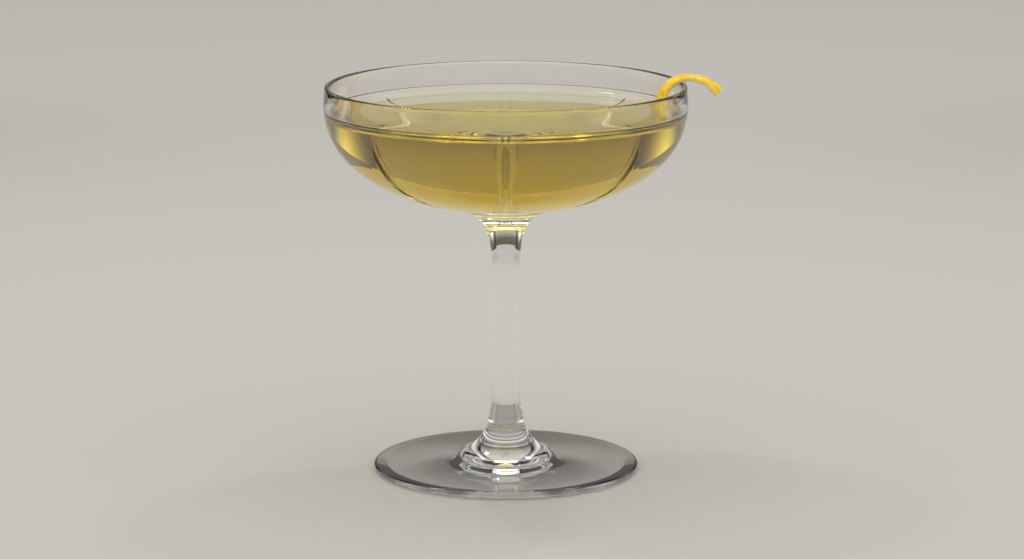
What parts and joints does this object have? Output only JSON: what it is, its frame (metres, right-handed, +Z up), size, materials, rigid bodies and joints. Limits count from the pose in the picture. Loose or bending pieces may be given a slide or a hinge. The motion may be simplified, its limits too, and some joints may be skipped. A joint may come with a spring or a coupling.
{
  "type": "martini cocktail in a stemmed coupe glass",
  "caption": "Pale gold martini in a wide, footed coupe glass cut with long leaves, with a thin lemon twist hung over the rim.",
  "frame": {"origin": "on the glass's axis, in the plane of the ring that the foot stands on", "axes": "+Z up along the stem; +X towards the side of the rim where the lemon twist hangs; the view with the twist on the right looks along +Y"},
  "size_m": [0.1098, 0.1, 0.1099],
  "materials": {
    "clear_glass": "clear, polished",
    "pale_gold_drink": "clear pale gold liquid",
    "lemon_peel": "fresh peel with fine pores, pale pith on its inner side"
  },
  "bodies": {
    "root": {"glass": "clear_glass", "drink": "pale_gold_drink", "lemon_twist": "lemon_peel"}
  },
  "joints": []
}
